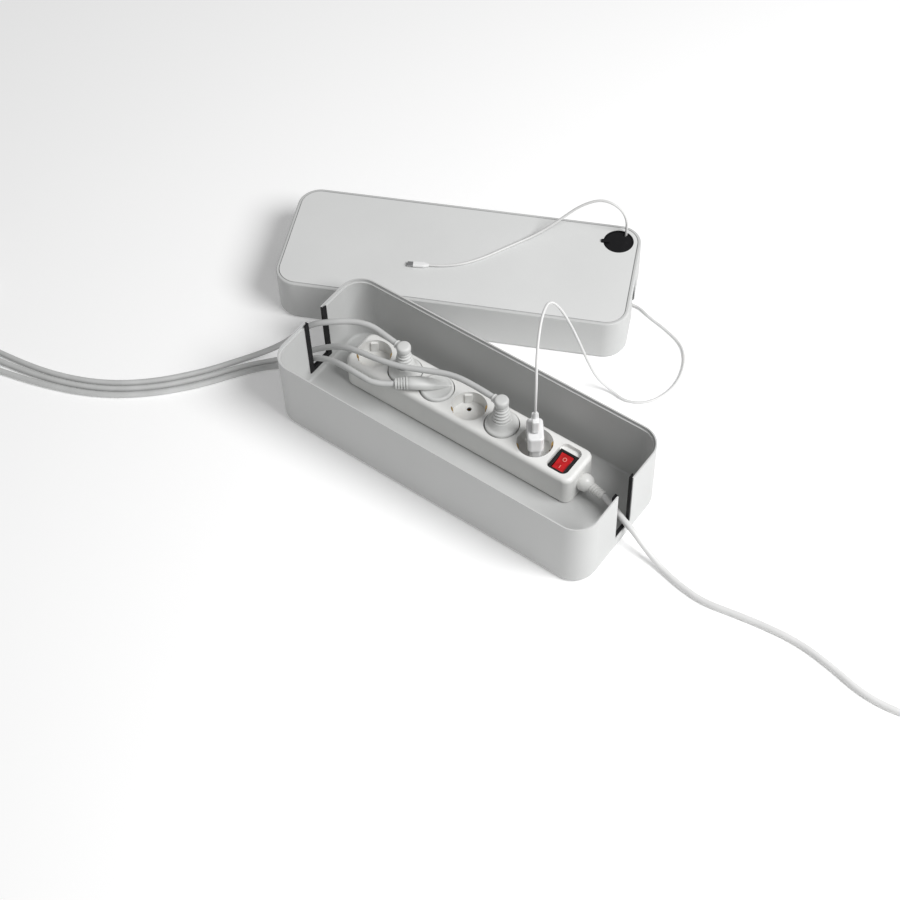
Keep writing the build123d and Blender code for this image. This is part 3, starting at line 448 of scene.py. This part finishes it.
def upright_plug(socket, cord_turn):
    """Skirt, bell with ribs, and knob with the stub that the cord leaves by."""
    def build(bm):
        x = SOCKET_XS[socket]
        profile = PLUG_SKIRT + [(15.8, 47.2), (14.3, 48.6), (12.9, 51), (11.8, 53.6), (11.1, 55.8)]
        ribs, pitch, taper = 5, 4.2, 0.85
        for n in range(ribs):
            foot, radius = 56 + pitch * n, 10.7 - taper * n
            profile += [(radius - 1.6, foot + 0.3), (radius - 1.6, foot + 1.1),
                        (radius - 0.3, foot + 1.4), (radius, foot + 1.9),
                        (radius, foot + 3.1), (radius - 0.3, foot + 3.7)]
        profile += [(5.9, 77.3), (7.1, 77.7), (7.8, 78.8), (8, 80.5), (8, 84.3), (7.6, 85.6),
                    (6.6, 86.6), (5, 87), (0, 87)]
        lathe(bm, profile, Matrix.Translation((x, STRIP_Y, 0)), 72)
        stub = [(0, 0), (4.9, 0), (4.9, 8.2), (4.5, 8.8), (4.5, 9.5), (4.8, 10), (4.6, 11),
                (3.3, 11.2), (0, 11.2)]
        lathe(bm, stub, facing((x, STRIP_Y, knob_z), way(cord_turn)), 32)
    return build


for letter, socket, cord_turn in (("a", PLUG_A_SOCKET, knob_turn_a),
                                  ("c", PLUG_C_SOCKET, knob_turn_c)):
    piece = mesh_piece("plug_%s_shape" % letter, upright_plug(socket, cord_turn), plug_plastic,
                       "plug_" + letter)
    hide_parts("plug_%s_body" % letter)
    soften(piece, 0.25, 2, 40)


def flat_plug(bm):
    """Disc with an arm that rises and widens across it and ends at the cord's relief."""
    x = SOCKET_XS[PLUG_B_SOCKET]
    around, squareness = 28, 0.7
    lathe(bm, PLUG_SKIRT + [(16.2, 47.0), (15.6, 46.7), (13, 46.9), (0, 47.2)],
          Matrix.Translation((x, STRIP_Y, 0)), 72)
    # place along the arm, half width, underside, top
    sections = [(-16.2, 0.5, 46.2, 47.6), (-13, 1.8, 45.8, 49.4), (-8, 3.6, 45.6, 51.8),
                (-2, 5.2, 45.6, 54.2), (5, 6.6, 45.8, 56.8), (12, 7.4, 46.6, 59),
                (19, 7.6, 48.2, 60.4), (25, 7.4, 49, 60.9), (30, 7.0, 49.2, 61),
                (31, 6.5, 49.8, 60.4)]
    across = Vector((-arm_way.y, arm_way.x, 0))
    rings = []
    for along, half, low, high in sections:
        middle = Vector((x, STRIP_Y, (low + high) / 2)) + arm_way * along
        ring = []
        for n in range(around):
            a = 2 * pi * n / around
            side = abs(cos(a)) ** squareness * (1 if cos(a) > 0 else -1)
            rise = abs(sin(a)) ** squareness * (1 if sin(a) > 0 else -1)
            ring.append(bm.verts.new(middle + across * half * side
                                     + Vector((0, 0, (high - low) / 2 * rise))))
        rings.append(ring)
    for a, b in zip(rings, rings[1:]):
        for n in range(around):
            m = (n + 1) % around
            bm.faces.new((a[n], b[n], b[m], a[m]))
    bm.faces.new(rings[0])
    bm.faces.new(rings[-1])


flat = mesh_piece("plug_b_shape", flat_plug, plug_plastic, "tray")
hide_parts("plug_b_body")
soften(flat, 0.3, 2, 40)


def well_guides(bm):
    """Guide keys, and a rib on each side of each earth clip, inside the two open wells."""
    for socket in OPEN_SOCKETS:
        centre = Matrix.Translation((SOCKET_XS[socket], STRIP_Y, 0))
        for turn in (128, -52):
            block(bm, (2.2, 8.5, 13.5), centre @ Matrix.Rotation(radians(turn), 4, "Z")
                  @ Matrix.Translation((18.7, 0, 33.4)))
        for clip in CLIP_TURNS:
            for side in (-11, 11):
                block(bm, (1.6, 1.8, 14), centre @ Matrix.Rotation(radians(clip + side), 4, "Z")
                      @ Matrix.Translation((19.2, 0, 33.6)))


soften(mesh_piece("well_guides", well_guides, strip, "tray", smooth=False), 0.4, 2)


def clip_leaves(bm):
    """Sprung tips of the earth clips, bowed into the wells that stay in view."""
    # height, and distance from the well's middle
    bow = [(30, 18.9), (33, 17.9), (36, 17.3), (39, 17.6), (41, 18.5), (42.2, 19.3)]
    half, thick = 1.9, 0.5
    section = ((-half, 0), (half, 0), (half, thick), (-half, thick))
    for socket in OPEN_SOCKETS + (CHARGER_SOCKET,):
        for clip in CLIP_TURNS:
            place = (Matrix.Translation((SOCKET_XS[socket], STRIP_Y, 0))
                     @ Matrix.Rotation(radians(clip), 4, "Z"))
            rows = [[bm.verts.new(place @ Vector((r + out, side, z))) for side, out in section]
                    for z, r in bow]
            for a, b in zip(rows, rows[1:]):
                for n in range(4):
                    bm.faces.new((a[n], a[(n + 1) % 4], b[(n + 1) % 4], b[n]))
            bm.faces.new(rows[0])
            bm.faces.new(rows[-1])


mesh_piece("clip_leaves", clip_leaves, brass, "tray", smooth=False)


def gland(bm):
    """Rounded collar of the supply cord with a short ribbed neck."""
    profile = [(0, 0), (8.2, 0), (9.3, 1.2), (10, 3), (10.2, 5.2), (9.9, 7.4), (9.1, 9.4),
               (7.9, 11.2), (6.6, 12.6), (5.7, 13.8)]
    ribs, pitch, taper, groove = 5, 3.2, 0.18, 0.8
    for n in range(ribs):
        foot, radius = 14.2 + pitch * n, 5.7 - taper * n
        profile += [(radius - groove, foot), (radius - groove, foot + 0.8),
                    (radius, foot + 1.2), (radius, foot + 2.8)]
    profile += [(4.6, 30.6), (4.2, 31.2), (0, 31.2)]
    lathe(bm, profile, facing(gland_foot, supply_exit - gland_foot))


gland_shape = mesh_piece("gland_shape", gland, strip, "tray")
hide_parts("strip_gland")
soften(gland_shape, 0.25, 2, 40)

# ---- floor, light, camera ----------------------------------------------------------
# all in metres
FLOOR_REACH = 9
floor_data = bpy.data.meshes.new("floor")
floor_data.from_pydata([(x * FLOOR_REACH, y * FLOOR_REACH, 0)
                        for x, y in ((-1, -1), (1, -1), (1, 1), (-1, 1))], [], [(0, 1, 2, 3)])
floor = bpy.data.objects.new("floor", floor_data)
bpy.context.scene.collection.objects.link(floor)
floor_data.materials.append(material("floor_white", (0.92, 0.92, 0.92), 0.8, grain=300, bump=0.02,
                                     shade=0.004, cloud=2, specular=0.2, glow=((1, 1, 1), 0.16)))

world = bpy.data.worlds.new("studio")
bpy.context.scene.world = world
world.use_nodes = True
background = world.node_tree.nodes["Background"]
background.inputs["Color"].default_value = (1, 1, 1, 1)
background.inputs["Strength"].default_value = 0.3

# one broad lamp, high on the right, aimed at the middle of the box
key_place, key_target = Vector((1.62, 0.25, 1.9)), Vector((0, 0.05, 0))
key_data = bpy.data.lights.new("key", "AREA")
key_data.shape = "DISK"
key_data.size = 1.4
key_data.energy = 63
key = bpy.data.objects.new("key", key_data)
bpy.context.scene.collection.objects.link(key)
key.location = key_place
key.rotation_euler = (key_target - key_place).to_track_quat("-Z", "Y").to_euler()

# the camera looks at target from an azimuth measured from -Y towards +X, and rolls about its view
AZIMUTH, ELEVATION, ROLL, DISTANCE = 38.392, 52.993, -2.761, 1.958606
LENS_MM, SENSOR_MM = 71.73, 36.0
target = Vector((-0.014776, -0.007401, 0))
azimuth, elevation, roll = radians(AZIMUTH), radians(ELEVATION), radians(ROLL)
back = Vector((sin(azimuth) * cos(elevation), -cos(azimuth) * cos(elevation), sin(elevation)))
level = (-back).cross(Vector((0, 0, 1))).normalized()
rise = level.cross(-back)
right = level * cos(roll) + rise * sin(roll)
up = rise * cos(roll) - level * sin(roll)
camera_data = bpy.data.cameras.new("camera")
camera_data.lens = LENS_MM
camera_data.sensor_width = SENSOR_MM
camera = bpy.data.objects.new("camera", camera_data)
bpy.context.scene.collection.objects.link(camera)
camera.matrix_world = Matrix.Translation(target + back * DISTANCE) @ Matrix((
    (right.x, up.x, back.x), (right.y, up.y, back.y), (right.z, up.z, back.z))).to_4x4()
bpy.context.scene.camera = camera
bpy.context.scene.view_settings.view_transform = "Standard"
